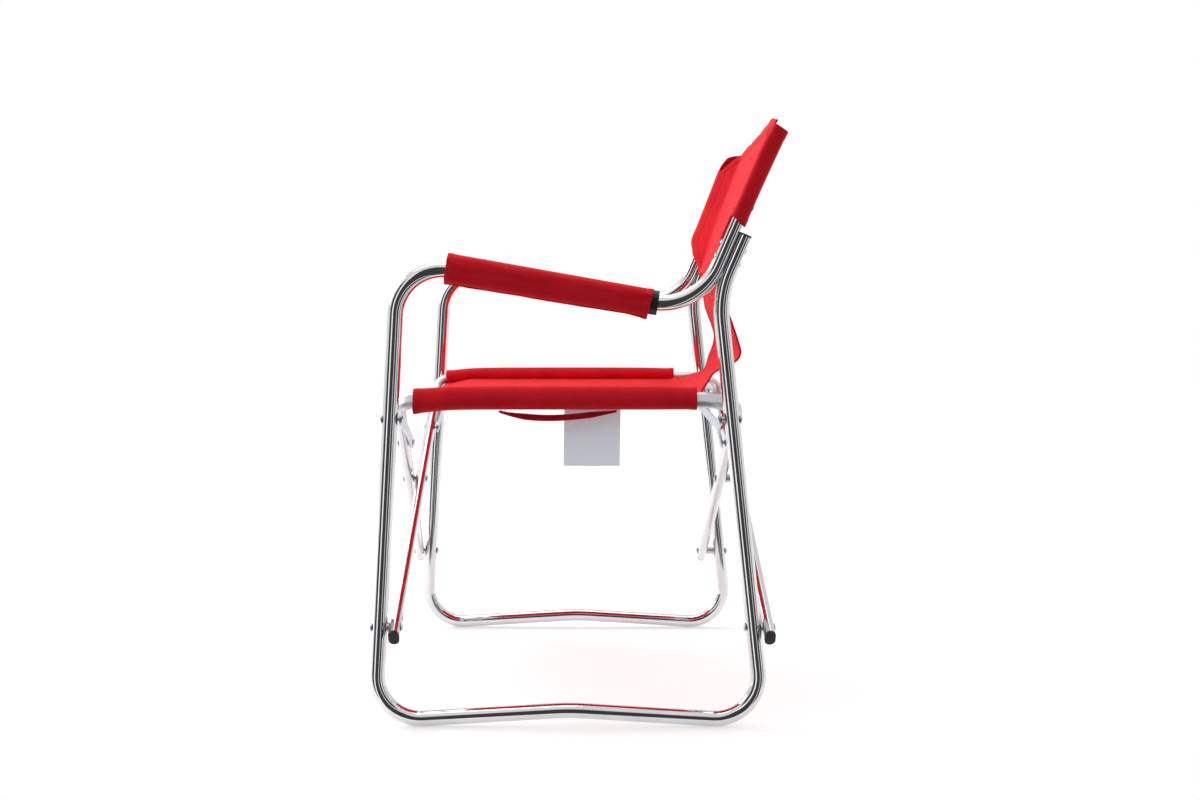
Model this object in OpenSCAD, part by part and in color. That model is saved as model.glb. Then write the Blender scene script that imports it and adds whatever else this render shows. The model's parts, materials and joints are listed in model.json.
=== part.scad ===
// Folding directors chair: two bent side frames, two crossed leg frames that carry
// the seat rails, swinging links, and a cloth seat and back.
// Front is -Y, the sitter's left is +X, and the floor is at z = 0.

/* [Side frames] */
// Outer diameter of the side frame tube
tube_d = 20; // [16:0.5:24]
// Wall of the side frame tube
tube_wall = 1.5; // [1:0.1:2.5]
// Distance between the middles of the two side frames
frame_gap = 556; // [520:2:640]
// Depth of the side frame over the tubes at the bottom corners
base_depth = 513; // [490:1:540]
// Rise of the middle of the runner over its ends
runner_rise = 15; // [8:0.5:24]
// Bend radius of the bottom corners
corner_r = 56; // [45:1:70]
// Bend radius where the front leg turns into the arm
arm_front_r = 60; // [50:1:66]
// Bend radius where the arm turns into the back post
arm_rear_r = 78; // [70:1:90]
// Bend radius at the top of the rear leg
leg_top_r = 128; // [100:1:160]
// Height of the corner that the front leg and the arm lines make
arm_front_h = 598.8; // [570:1:630]
// Slope of the arm, down towards the rear
arm_slope = 9; // [6:0.5:11]
// Backward rake of the front leg
front_rake = 3.46; // [2:0.1:5]
// Backward rake of the rear leg, towards the floor
rear_rake = 6.25; // [5:0.25:7]
// Backward lean of the back post and of the top of the rear leg
back_lean = 23.2; // [22:0.1:26]
// Height of the bend at the top of the rear leg
leg_bend_h = 556.6; // [540:1:570]
// Height of the end of the rear leg
leg_end_h = 631; // [620:1:640]
// Height of the top end of the back post
post_end_h = 746; // [730:1:752]
// Thickness of the tube where it is pressed flat for the post joint
flat_t = 16; // [14:0.25:17]
// Height of the lower rivet that joins the post and the rear leg
post_rivet_h = 604; // [603:0.5:606]
// Height of the upper rivet over the lower one
post_rivet_step = 17; // [14:0.5:18]
// Height of the screw through the rear of the back sleeve
back_screw_h = 670; // [655:1:680]

/* [Leg frames] */
// Thickness of the flat oval leg tube
leg_t = 14; // [12:0.5:15]
// Width of the flat oval leg tube
leg_w = 22; // [20:0.5:24]
// Wall of the leg tube
leg_wall = 1.5; // [1:0.1:2]
// Height of the lower leg pivots
foot_pivot_h = 130; // [120:1:140]
// Height of the crossing pivots in the open chair
cross_h = 287.2; // [280:0.2:294]
// Distance from the crossing to the seat rail, along the legs
rail_reach = 270.6; // [262:0.2:276]
// Length of the leg past its lower pivot
leg_tail = 18; // [16:0.5:24]
// Bend radius at the front ends of the seat rails
rail_front_r = 30; // [22:1:30]
// Bend radius at the rear ends of the seat rails
rail_rear_r = 45; // [40:1:50]
// Angle that the legs turn through when the chair folds
fold_angle = 42; // [30:1:42]

/* [Links] */
// Distance from the crossing to the link pivot, along the legs
link_reach = 132; // [125:1:140]
// Width of the link
link_w = 16; // [14:0.5:18]
// Thickness of the link
link_t = 2; // [1.5:0.1:2.5]

/* [Fasteners] */
// Diameter of the pivot bolts and rivets
pin_d = 6; // [5:0.5:7]
// Diameter of the rivet heads
head_d = 11; // [9:0.5:13]
// Height of the rivet heads
head_h = 2.6; // [2:0.1:3]
// Outer diameter of the spacers
spacer_d = 12; // [10:0.5:14]
// Radial clearance between a pivot pin and its hole
pin_play = 0.06; // [0.02:0.01:0.1]

/* [Arm pads] */
// Width of the moulded arm core
core_w = 26; // [24:0.5:27]
// Height of the moulded arm core
core_h = 31; // [28:0.5:34]
// Distance from the front leg line to the front end of the core
core_start = 66; // [62:1:72]
// Distance that the core reaches over the rear bend of the arm
core_over_bend = 7.6; // [0:0.2:8]
// Distance that the cloth cover reaches past the front end of the core
cover_front = 8; // [0:1:12]
// Distance from the rear end of the cloth cover to the rear end of the core
cover_tail = 7; // [0:1:20]
// Depth of the loose flap under the cloth cover
cover_flap = 5; // [2:1:8]

/* [Cloth] */
// Thickness of the cloth solids
cloth_t = 1.5; // [1:0.1:2]
// Room between the back sleeves and the posts
sleeve_gap = 1.2; // [0.8:0.1:1.5]
// Room between the seat sleeves and the rails
rail_gap = 1.8; // [1.2:0.1:2]
// Length of the seat cloth from front to back
seat_len = 369; // [340:1:380]
// Distance from the front leg centre to the front edge of the seat cloth
seat_setback = 20; // [16:1:40]
// Sag of the middle of the seat
seat_sag = 7; // [3:0.5:12]
// Height of the bottom edge of the back sleeves
back_low_h = 644; // [640:1:655]
// Distance of the back sheet behind the line of the posts
back_sheet_n = 4; // [-6:1:8]
// Height of the hem where the lower sheet starts
hem_h = 588; // [580:1:600]
// Width of the lower back sheet
low_sheet_w = 450; // [420:2:470]
// Distance that the lower back sheet bows to the rear
low_sheet_bow = 40; // [10:1:45]
// Width of the carry strap
strap_w = 20; // [16:1:24]
// Thickness of the carry strap
strap_thick = 2; // [1:0.1:2.5]
// Distance from the front edge of the seat to the carry strap
strap_start = 111; // [80:1:120]
// Length of seat edge that the carry strap spans
strap_span = 154; // [120:2:170]
// Distance that the carry strap hangs down
strap_dip = 10; // [6:1:16]
// Width of the hanging tag
tag_w = 74; // [60:1:80]
// Height of the hanging tag
tag_h = 74; // [60:1:80]
// Distance from the front edge of the seat to the hanging tag
tag_start = 196; // [180:1:220]

/* [Hidden] */
$fn = 64;
eps = 0.01;
collar_len = 1;
collar_gap = 0.1;
collar_extra = 0.15;
slack = 0.3;
touch = 0.05;
runner_mid_r = 300;

tube_r = tube_d / 2;
half_gap = frame_gap / 2;
polished = "silver";
satin = "gainsboro";
plated = "lightsteelblue";
moulded = [0.08, 0.08, 0.09];
red_cloth = [0.86, 0.12, 0.16];
dark_red = [0.5, 0.05, 0.08];

// Side frame outline: corners in the side plane as [y, z], before the bends are rounded
runner_end_h = tube_r - runner_rise * 0.25;
runner_mid_h = runner_end_h + runner_rise;
front_low = [-base_depth / 2 + tube_r - 3, runner_end_h];
rear_low = [base_depth / 2 - tube_r + 6.8, runner_end_h];
front_up = [front_low.x + (arm_front_h - front_low.y) * tan(front_rake), arm_front_h];
leg_bend = [rear_low.x - (leg_bend_h - rear_low.y) * tan(rear_rake), leg_bend_h];
leg_end = leg_bend + (leg_end_h - leg_bend_h) * [tan(back_lean), 1];
flat_gap = flat_t + 0.1;
post_shift = flat_gap / cos(back_lean);
post_base = [leg_bend.x - post_shift - leg_bend.y * tan(back_lean), 0];
post_bend_h = (front_up.y - (post_base.x - front_up.x) * tan(arm_slope))
    / (1 + tan(back_lean) * tan(arm_slope));
post_bend = [post_base.x + post_bend_h * tan(back_lean), post_bend_h];
post_end = [post_base.x + post_end_h * tan(back_lean), post_end_h];
runner_mid = [(front_low.x + rear_low.x) / 2, runner_mid_h];

function front_tube_y(h) = front_low.x + (h - front_low.y) * tan(front_rake);
function rear_tube_y(h) = rear_low.x - (h - rear_low.y) * tan(rear_rake);
function post_y(h) = post_base.x + h * tan(back_lean);

// Leg frames: angle over the floor, and the lengths along the legs from the crossing
leg_rise = cross_h - foot_pivot_h;
leg_angle = atan(leg_rise / half_gap);
foot_reach = leg_rise / sin(leg_angle);
rail_x = rail_reach * cos(leg_angle);
rail_h = cross_h + rail_reach * sin(leg_angle);
folded_angle = leg_angle + fold_angle;

// Each leg's centre from front to back: [at the lower pivot, at the crossing]
front_foot_y = front_tube_y(foot_pivot_h);
rear_foot_y = rear_tube_y(foot_pivot_h);
beside_tube = tube_r + leg_t / 2;
left_front_gap = 1.9;
left_rear_gap = 11.8;
right_front_gap = 3.2;
right_rear_gap = 1.6;
left_front_cross = 2.6;
left_rear_cross = -21.3;
right_rear_cross = 3.2;
left_front_leg = [front_foot_y - beside_tube - left_front_gap, front_foot_y + left_front_cross];
left_rear_leg = [rear_foot_y - beside_tube - left_rear_gap, rear_foot_y + left_rear_cross];
right_front_leg = [front_foot_y + beside_tube + right_front_gap, front_foot_y + beside_tube + right_front_gap];
right_rear_leg = [rear_foot_y + beside_tube + right_rear_gap, rear_foot_y + right_rear_cross];

// The origin lies midway between the foremost bolt head and the top of the back sleeve
bolt_skin = leg_t / 2 + 0.45;
back_half_t = flat_t / 2 + sleeve_gap + cloth_t;
back_over_post = 30;
back_top_h = post_end_h + back_over_post;
back_most_y = post_y(back_top_h) + back_half_t * cos(back_lean);
front_most_y = left_front_leg[0] - bolt_skin - head_h;
origin_y = (back_most_y + front_most_y) / 2;

function leg_slope(leg) = (leg[1] - leg[0]) / foot_reach;
function leg_y(leg, reach) = leg[1] + leg_slope(leg) * reach;

// Distance from the axis of a tube that leans by rake to a flat face of radius r beside it
function beside(rake, r) = tube_r / cos(rake) + r * tan(rake) + touch;

// Link pivots: the link spans the same length with the chair open and folded
link_pin_h = foot_pivot_h + 2 * foot_reach * link_reach
    * (sin(leg_angle) + sin(folded_angle)) / (foot_reach + link_reach);
link_stud = [link_reach * cos(leg_angle), cross_h + link_reach * sin(leg_angle)];
link_run = link_stud - [half_gap, link_pin_h];
link_len = norm(link_run);

// Section and path helpers
module ring_section(outer_r, inner_r, extra = 0) {
    difference() {
        circle(r = outer_r + extra);
        circle(r = inner_r - extra);
    }
}

module round_section(extra = 0) {
    ring_section(tube_r, tube_r - tube_wall, extra);
}

module oval(thick, wide) {
    r = thick / 2;
    translate([0, r - wide / 2]) circle(r = r);
    translate([0, wide / 2 - r]) circle(r = r);
    square([thick, wide - thick], center = true);
}

module oval_section(thick, wide, wall) {
    difference() {
        oval(thick, wide);
        oval(thick - 2 * wall, wide - 2 * wall);
    }
}

function heading(a, b) = atan2(b.y - a.y, b.x - a.x);
function turn(a, b, c) =
    let (t = heading(b, c) - heading(a, b)) t > 180 ? t - 360 : t < -180 ? t + 360 : t;
function cut_back(path, radii, i) =
    i == 0 || i == len(path) - 1 ? 0
    : radii[i] * tan(abs(turn(path[i - 1], path[i], path[i + 1])) / 2);
function rounded(v) = round(v * 1000) / 1000;
function run_of(path, radii, i) =
    norm(path[i + 1] - path[i]) - cut_back(path, radii, i) - cut_back(path, radii, i + 1);

// The runs and bends of a path as [run, bend angle, bend radius]
function steps_of(path, radii) = [for (i = [0 : len(path) - 2])
    [rounded(run_of(path, radii, i)),
        i == len(path) - 2 ? 0 : rounded(turn(path[i], path[i + 1], path[i + 2])),
        radii[i + 1]]];

// A tube along a flat path in the x-y plane. The children are its section, the
// slightly larger section of the collars that join runs and bends, and its end
module bent_tube(path, radii) {
    translate(path[0]) rotate([0, 0, heading(path[0], path[1])]) rotate([90, 0, 90])
        tube_steps(steps_of(path, radii)) {
            children(0);
            children(1);
            children(2);
        }
}

module collar() {
    translate([0, 0, -collar_len / 2]) linear_extrude(collar_len) children();
}

module tube_steps(steps, i = 0) {
    if (i == len(steps)) children(2);
    else {
        run = steps[i][0];
        bend = steps[i][1];
        radius = steps[i][2];
        side = sign(bend);
        gap_before = i > 0 ? collar_gap : 0;
        gap_after = bend != 0 ? collar_gap : 0;
        translate([0, 0, gap_before]) linear_extrude(run - gap_before - gap_after) children(0);
        translate([0, 0, run]) {
            if (bend != 0) {
                rotate([0, 0, side < 0 ? 180 : 0]) translate([radius, 0, 0])
                    rotate([90, 0, 180]) rotate_extrude(angle = abs(bend))
                        translate([radius, 0]) children(0);
                collar() children(1);
            }
            translate([side * radius, 0, 0]) rotate([0, bend, 0]) translate([-side * radius, 0, 0]) {
                if (bend != 0) collar() children(1);
                tube_steps(steps, i + 1) {
                    children(0);
                    children(1);
                    children(2);
                }
            }
        }
    }
}

// Puts a drawing of [y, z] and depth x onto the side plane at x
module on_side(x) {
    translate([x, -origin_y, 0]) rotate([90, 0, 90]) children();
}

// A pin along +Y that starts at the given place and has a domed head at either end
module pin(x, y, z, length, head_start = false, head_end = false, r = pin_d / 2) {
    translate([x, y - origin_y, z]) rotate([-90, 0, 0]) {
        cylinder(h = length, r = r);
        if (head_start) mirror([0, 0, 1]) rivet_head();
        if (head_end) translate([0, 0, length]) rivet_head();
    }
}

module rivet_head() {
    step = 0.9;
    cylinder(h = step, r = head_d / 2);
    intersection() {
        translate([0, 0, head_h - head_d * 0.8]) sphere(r = head_d * 0.8);
        translate([0, 0, step - eps]) cylinder(h = head_h, r = head_d / 2 - 0.4);
    }
}

module ring(x, y, z, length, outer_r, inner_r) {
    translate([x, y - origin_y, z]) rotate([-90, 0, 0]) difference() {
        cylinder(h = length, r = outer_r);
        translate([0, 0, -1]) cylinder(h = length + 2, r = inner_r);
    }
}

// Moves a drawing from the plane of the left leg frame, [reach, y], to its place
module on_legs() {
    translate([0, -origin_y, cross_h]) rotate([0, -leg_angle, 0]) children();
}

module to_side(side) {
    if (side > 0) children();
    else mirror([1, 0, 0]) children();
}

// Side frames
cut_at_bend = leg_top_r * tan((rear_rake + back_lean) / 2);
post_cut = arm_rear_r * tan((90 - back_lean + arm_slope) / 2);
flat_start = 3;
pressed_bore = tube_r - 3.6;
pressed_slit = 0.06;
blend_len = 3;
lean = [sin(back_lean), cos(back_lean)];
round_start = leg_bend + (cut_at_bend + flat_start) * lean;
round_end = post_bend + (post_cut + flat_start) * lean;

// The pressed stretch of a tube, from its round end along +Z to its open end
module pressed_stretch(length) {
    stop = rounded(length);
    collar() round_section(collar_extra);
    difference() {
        translate([0, 0, collar_gap]) linear_extrude(stop - collar_gap) difference() {
            circle(r = tube_r);
            circle(r = pressed_bore);
        }
        for (s = [0, 180]) rotate([0, 0, s]) rotate([90, 0, 0])
            linear_extrude(2 * tube_d, center = true)
                polygon([[tube_r + 0.1, collar_len], [flat_t / 2, blend_len], [flat_t / 2, stop + 1],
                    [tube_d, stop + 1], [tube_d, collar_len]]);
    }
}

module pressed_outline() {
    intersection() {
        circle(r = tube_r);
        square([flat_t, tube_d], center = true);
    }
}

// The thicker wall inside a bend that is pressed against its neighbour
module thick_bend(path, radius) {
    outer_r = tube_r - tube_wall + collar_extra;
    bent_tube(path, [0, radius, 0]) {
        ring_section(outer_r, pressed_bore);
        ring_section(outer_r, pressed_bore, collar_extra);
        union() {}
    }
}

module side_tube(side) {
    path = [round_start, leg_bend, rear_low, runner_mid, front_low, front_up, post_bend, round_end];
    radii = [0, leg_top_r, corner_r, runner_mid_r, corner_r, arm_front_r, arm_rear_r, 0];
    color(polished) to_side(side) difference() {
        on_side(half_gap) {
            bent_tube(path, radii) {
                round_section();
                round_section(collar_extra);
                pressed_stretch(norm(post_end - round_end));
            }
            thick_bend([post_bend - (post_cut + 2) * [cos(arm_slope), -sin(arm_slope)], post_bend,
                round_end - 0.5 * lean], arm_rear_r);
            thick_bend([leg_bend - (cut_at_bend + 2) * [-sin(rear_rake), cos(rear_rake)], leg_bend,
                round_start - 0.5 * lean], leg_top_r);
            translate(round_start) rotate([0, 0, 90 - back_lean]) rotate([90, 0, 90])
                pressed_stretch(norm(leg_end - round_start));
        }
        for (y = [front_tube_y(link_pin_h), rear_tube_y(link_pin_h)])
            pin_hole(half_gap, y, link_pin_h);
        for (y = [front_tube_y(foot_pivot_h), rear_tube_y(foot_pivot_h)])
            pin_hole(half_gap, y, foot_pivot_h);
        post_rivet_cut();
        translate([half_gap, post_y(leg_bend_h) + post_shift / 2 - origin_y, leg_bend_h])
            rotate([-back_lean, 0, 0]) translate([0, 0, tube_d])
                cube([2 * tube_d, pressed_slit, 4 * tube_d], center = true);
        back_screw_place(1) cylinder(h = tube_d, r = screw_r + pin_play);
    }
}

module pin_hole(x, y, z) {
    reach = tube_d;
    translate([x, y - origin_y - reach, z]) rotate([-90, 0, 0])
        cylinder(h = 2 * reach, r = pin_d / 2 + pin_play);
}

// Rivets that hold the post to the top of the rear leg
rivet_r = 2.5;
small_head = 0.7;

module along_post_rivets() {
    for (h = [post_rivet_h, post_rivet_h + post_rivet_step])
        translate([half_gap, post_y(h) - origin_y, h]) rotate([-90 - back_lean, 0, 0]) children();
}

module post_rivet_cut() {
    along_post_rivets() translate([0, 0, -flat_t]) cylinder(h = 3 * flat_t, r = rivet_r + pin_play);
}

module post_rivets(side) {
    color(plated) to_side(side) along_post_rivets() {
        start = -flat_t / 2 - touch;
        length = flat_t + flat_gap + 2 * touch;
        translate([0, 0, start]) cylinder(h = length, r = rivet_r);
        translate([0, 0, start]) mirror([0, 0, 1]) scale(small_head) rivet_head();
        translate([0, 0, start + length]) scale(small_head) rivet_head();
    }
}

module end_cap(end) {
    lip = 2.2;
    plug = 14;
    on_side(half_gap) translate(end) rotate([0, 0, 90 - back_lean]) rotate([90, 0, 90]) {
        linear_extrude(lip) pressed_outline();
        translate([0, 0, -plug]) cylinder(h = plug, r = pressed_bore - touch);
    }
}

module leg_cap(side) {
    color(moulded) to_side(side) end_cap(leg_end);
}

module post_cap(side) {
    color(moulded) to_side(side) end_cap(post_end);
}

// Arm pads: a moulded core on the tube, and a cloth cover round it
module along_arm(from) {
    on_side(half_gap) translate(front_up) rotate([0, 0, -arm_slope]) translate([from, 0, 0])
        rotate([90, 0, 90]) children();
}

module upright_oval(wide, tall) {
    r = wide / 2;
    translate([r - tall / 2, 0]) circle(r = r);
    translate([tall / 2 - r, 0]) circle(r = r);
    square([tall - wide, wide], center = true);
}

arm_len = norm(post_bend - front_up);
core_len = arm_len - post_cut + core_over_bend - core_start;
cover_len = core_len + cover_front - cover_tail;
arm_bore = tube_r + collar_extra + touch;
bend_bore = arm_bore + core_over_bend * core_over_bend / (2 * (arm_rear_r - tube_r));
arm_screw_r = 2;
arm_screw_len = 5.2;
arm_screw_places = [core_len * 0.15, core_len * 0.85];

module arm_core(side) {
    color(moulded) to_side(side) along_arm(core_start) difference() {
        linear_extrude(core_len) upright_oval(core_w, core_h);
        translate([0, 0, -1]) cylinder(h = core_len + 2, r = arm_bore);
        translate([0, 0, core_len - core_over_bend - 1]) cylinder(h = core_over_bend + 2, r = bend_bore);
        for (s = arm_screw_places) translate([-core_h / 2 - 1, 0, s]) rotate([0, 90, 0])
            cylinder(h = core_h / 2, r = arm_screw_r + touch);
    }
}

module arm_screws(side) {
    color(plated) to_side(side) along_arm(core_start) for (s = arm_screw_places)
        translate([-core_h / 2 + touch, 0, s]) rotate([0, 90, 0])
            cylinder(h = min(arm_screw_len, core_h / 2 - arm_bore), r = arm_screw_r);
}

module arm_cover(side) {
    inner_w = core_w + 2 * slack;
    inner_h = core_h + 2 * slack;
    color(red_cloth) to_side(side) along_arm(core_start - cover_front) difference() {
        union() {
            linear_extrude(cover_len) upright_oval(inner_w + 2 * cloth_t, inner_h + 2 * cloth_t);
            translate([-core_h / 2 - cover_flap, -cloth_t, 0]) linear_extrude(cover_len)
                square([cover_flap + 2 * cloth_t, 2 * cloth_t]);
        }
        translate([0, 0, -1]) linear_extrude(cover_len + 2) upright_oval(inner_w, inner_h);
    }
}

// Pivots on the side tubes
module link_pins(side) {
    color(plated) to_side(side) {
        front_start = front_tube_y(link_pin_h) - beside(front_rake, head_d / 2);
        front_end = front_pin_y + link_t / 2 + slack;
        rear_start = rear_pin_y - link_t / 2 - slack;
        rear_end = rear_tube_y(link_pin_h) + beside(rear_rake, head_d / 2);
        pin(half_gap, front_start, link_pin_h, front_end - front_start, true, true);
        pin(half_gap, rear_start, link_pin_h, rear_end - rear_start, true, true);
    }
}

// Places of the link plates along Y: the middle of the plate at the stud and at the pin.
// Folded, a plate lies up along the leaning tube for its straight part, and has room up to link_climb
link_straight = 50;
link_climb = 29;
function front_stud_y(side) = stud_front_y(side) + stud_clear + link_t / 2;
function rear_stud_y(side) = stud_rear_y(side) - stud_clear - link_t / 2;
front_pin_y = front_tube_y(link_pin_h) + beside(front_rake, link_climb) + link_t / 2 + slack;
rear_pin_y = rear_tube_y(link_pin_h) - beside(rear_rake, link_climb) - link_t / 2 - slack;
function front_leg(side) = side > 0 ? left_front_leg : right_front_leg;
function rear_leg(side) = side > 0 ? left_rear_leg : right_rear_leg;
function stud_front_y(side) = leg_y(front_leg(side), link_reach) + leg_t / 2;
function stud_rear_y(side) = leg_y(rear_leg(side), link_reach) - leg_t / 2;
stud_clear = 2.8;

// One link plate, drawn from its pin to its stud: straight at first, then bent along Y to the stud
module link_plate(pin_y, stud_y) {
    shift = stud_y - pin_y;
    skew = shift / (link_len - link_straight);
    tip = shift + skew * link_w / 2;
    far = link_len + link_w / 2;
    t = link_t / 2;
    way = atan2(link_run.y, link_run.x);
    translate([half_gap, pin_y - origin_y, link_pin_h]) rotate([0, -way, 0]) difference() {
        intersection() {
            translate([0, 0, -link_w]) linear_extrude(2 * link_w)
                polygon([[-link_w, -t], [link_straight, -t], [far, tip - t],
                    [far, tip + t], [link_straight, t], [-link_w, t]]);
            rotate([90, 0, 0]) translate([0, 0, -3 * link_w]) linear_extrude(6 * link_w) {
                circle(d = link_w);
                translate([link_len, 0]) circle(d = link_w);
                translate([0, -link_w / 2]) square([link_len, link_w]);
            }
        }
        translate([0, link_t * 2, 0]) rotate([90, 0, 0]) cylinder(h = link_t * 4, r = pin_d / 2 + pin_play);
    }
}

module link(side) {
    color(plated) to_side(side) {
        link_plate(front_pin_y, front_stud_y(side));
        link_plate(rear_pin_y, rear_stud_y(side));
        stud_end(front_stud_y(side), 1);
        stud_end(rear_stud_y(side), -1);
    }
}

// The half rivet that is fast in the link
module stud_end(y, way) {
    proud = 0.2;
    half = (link_t + stud_clear) / 2;
    translate([link_stud.x, y - origin_y, link_stud.y]) rotate([-90 * way, 0, 0]) {
        translate([0, 0, proud - half]) cylinder(h = link_t + stud_clear / 2, r = pin_d / 2);
        translate([0, 0, link_t / 2 + proud]) rivet_head();
    }
}

// The half rivet that is fast in the leg
module link_studs(side) {
    color(plated) to_side(side) {
        stand = stud_clear / 2;
        front = stud_front_y(side);
        rear = stud_rear_y(side);
        front_grip = leg_t + 2 * touch + head_d / 2 * abs(leg_slope(front_leg(side)));
        rear_grip = leg_t + 2 * touch + head_d / 2 * abs(leg_slope(rear_leg(side)));
        pin(link_stud.x, front - front_grip, link_stud.y, front_grip + stand, true, false);
        pin(link_stud.x, rear - stand, link_stud.y, rear_grip + stand, false, true);
    }
}

module leg_frame(side) {
    front = front_leg(side);
    rear = rear_leg(side);
    tail = foot_reach + leg_tail;
    path = [[-tail, leg_y(front, -tail)], [rail_reach, leg_y(front, rail_reach)],
        [rail_reach, leg_y(rear, rail_reach)], [-tail, leg_y(rear, -tail)]];
    color(satin) to_side(side) difference() {
        on_legs() bent_tube(path, [0, rail_front_r, rail_rear_r, 0]) {
            oval_section(leg_t, leg_w, leg_wall);
            oval_section(leg_t + 2 * collar_extra, leg_w + 2 * collar_extra,
                leg_wall + 2 * collar_extra);
            union() {}
        }
        for (leg = [front, rear]) {
            leg_hole(-foot_reach, leg);
            leg_hole(0, leg);
            leg_hole(link_reach, leg);
        }
    }
}

module leg_hole(reach, leg) {
    x = reach * cos(leg_angle);
    z = cross_h + reach * sin(leg_angle);
    translate([x, leg_y(leg, reach) - origin_y - leg_t, z]) rotate([-90, 0, 0])
        cylinder(h = 2 * leg_t, r = pin_d / 2 + pin_play);
}

module leg_plugs(side) {
    lip = 2.5;
    plug = 10;
    tail = foot_reach + leg_tail;
    color(moulded) to_side(side) on_legs() for (leg = [front_leg(side), rear_leg(side)])
        translate([-tail, leg_y(leg, -tail), 0])
            rotate([0, 0, atan(leg_slope(leg))]) rotate([90, 0, 90]) {
                translate([0, 0, -lip]) linear_extrude(lip) oval(leg_t, leg_w);
                linear_extrude(plug)
                    oval(leg_t - 2 * leg_wall - 2 * touch, leg_w - 2 * leg_wall - 2 * touch);
            }
}

// Bolts through the side tubes and the legs that stand on this side's tubes
module foot_bolts(side) {
    front = front_leg(-side)[0];
    rear = rear_leg(-side)[0];
    front_grip = beside(front_rake, head_d / 2);
    rear_grip = beside(rear_rake, head_d / 2);
    front_ends = [min(front_foot_y - front_grip, front - bolt_skin),
        max(front_foot_y + front_grip, front + bolt_skin)];
    rear_ends = [min(rear_foot_y - rear_grip, rear - bolt_skin),
        max(rear_foot_y + rear_grip, rear + bolt_skin)];
    color(plated) to_side(side) for (ends = [front_ends, rear_ends])
        pin(half_gap, ends[0], foot_pivot_h, ends[1] - ends[0], true, true);
}

module foot_spacers(side) {
    color(satin) to_side(side) {
        pair_spacer(front_leg(-side)[0], front_foot_y, -front_rake);
        pair_spacer(rear_leg(-side)[0], rear_foot_y, rear_rake);
    }
}

// Room that a spacer leaves to a slanted leg
spacer_room = 0.5;

// A spacer between a leg and a tube, hollowed out where it meets the leaning tube
module pair_spacer(leg, tube, tilt) {
    room = 2 * touch;
    low = leg < tube ? leg + leg_t / 2 + spacer_room : tube + tube_r - 1;
    high = leg < tube ? tube - tube_r + 1 : leg - leg_t / 2 - spacer_room;
    difference() {
        ring(half_gap, low, foot_pivot_h, high - low, spacer_d / 2, pin_d / 2 + room);
        translate([half_gap, tube - origin_y, foot_pivot_h]) rotate([tilt, 0, 0])
            cylinder(h = 3 * spacer_d, r = tube_r + room, center = true);
    }
}

module cross_bolts() {
    color(plated) {
        cross_bolt(left_front_leg[1], right_front_leg[1]);
        cross_bolt(left_rear_leg[1], right_rear_leg[1]);
    }
}

module cross_bolt(from, to) {
    pin(0, from - bolt_skin, cross_h, to - from + 2 * bolt_skin, true, true);
}

module cross_spacers() {
    color(satin) {
        cross_spacer(left_front_leg[1], right_front_leg[1]);
        cross_spacer(left_rear_leg[1], right_rear_leg[1]);
    }
}

module cross_spacer(from, to) {
    start = from + leg_t / 2 + spacer_room;
    ring(0, start, cross_h, to - leg_t / 2 - spacer_room - start, spacer_d / 2, pin_d / 2 + 2 * touch);
}

// Seat cloth: a sleeve round each rail, and the sheet between them
seat_front_y = leg_y(left_front_leg, rail_reach) + seat_setback;
sleeve_thick = leg_t + 2 * rail_gap + 2 * cloth_t;
sleeve_wide = leg_w + 2 * rail_gap + 2 * cloth_t;
sleeve_peak = (sleeve_wide - sleeve_thick) / 2 * cos(leg_angle) + sleeve_thick / 2;

module seat_sleeve(side) {
    color(red_cloth) to_side(side) on_legs() translate([rail_reach, seat_front_y, 0])
        rotate([-90, 0, 0]) linear_extrude(seat_len) difference() {
            oval(sleeve_thick, sleeve_wide);
            oval(sleeve_thick - 2 * cloth_t, sleeve_wide - 2 * cloth_t);
        }
}

panel_steps = 20;
panel_inset = 8;
panel_edge = rail_x - panel_inset;
panel_top = rail_h + sleeve_peak;
function sag_at(x) = seat_sag * (1 - pow(x / panel_edge, 2));

module seat_panel() {
    xs = [for (i = [0 : panel_steps]) panel_edge * (2 * i / panel_steps - 1)];
    over = [for (x = xs) [x, panel_top - sag_at(x)]];
    under = [for (i = [panel_steps : -1 : 0]) [xs[i], panel_top - cloth_t - sag_at(xs[i])]];
    color(red_cloth) translate([0, seat_front_y + seat_len - origin_y, 0])
        rotate([90, 0, 0]) linear_extrude(seat_len) polygon(concat(over, under));
}

// Back cloth: a sleeve round each post with the front sheet between them
back_half_w = 14.7;
sleeve_corner = 6;
skirt_inset = 14;
screw_r = 1.8;
screw_depth = 5;

module back_frame(h) {
    translate([0, post_y(h) - origin_y, h]) rotate([-back_lean, 0, 0]) children();
}

module back_panel() {
    inner_w = back_half_w - cloth_t;
    inner_t = back_half_t - cloth_t;
    length = (back_top_h - back_low_h) / cos(back_lean);
    drop = (back_low_h - hem_h) / cos(back_lean);
    color(red_cloth) back_frame(back_low_h) {
        difference() {
            union() {
                for (s = [-1, 1]) translate([s * half_gap, 0, 0]) linear_extrude(length)
                    rounded_box(back_half_w, back_half_t, sleeve_corner);
                translate([-half_gap, back_sheet_n - cloth_t / 2, 0]) cube([2 * half_gap, cloth_t, length]);
            }
            for (s = [-1, 1]) translate([s * half_gap, 0, -1]) linear_extrude(length + 2)
                rounded_box(inner_w, inner_t, sleeve_corner - cloth_t);
            for (s = [-1, 1])
                translate([s * half_gap, 0, (back_screw_h - back_low_h) / cos(back_lean)])
                    rotate([-90, 0, 0]) cylinder(h = 2 * back_half_t, r = screw_r + slack);
        }
        translate([0, back_sheet_n + cloth_t / 2, 0]) rotate([90, 0, 0]) linear_extrude(cloth_t)
            polygon([[skirt_inset - half_gap, 0], [half_gap - skirt_inset, 0],
                [low_sheet_w / 2, -drop], [-low_sheet_w / 2, -drop]]);
    }
}

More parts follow.
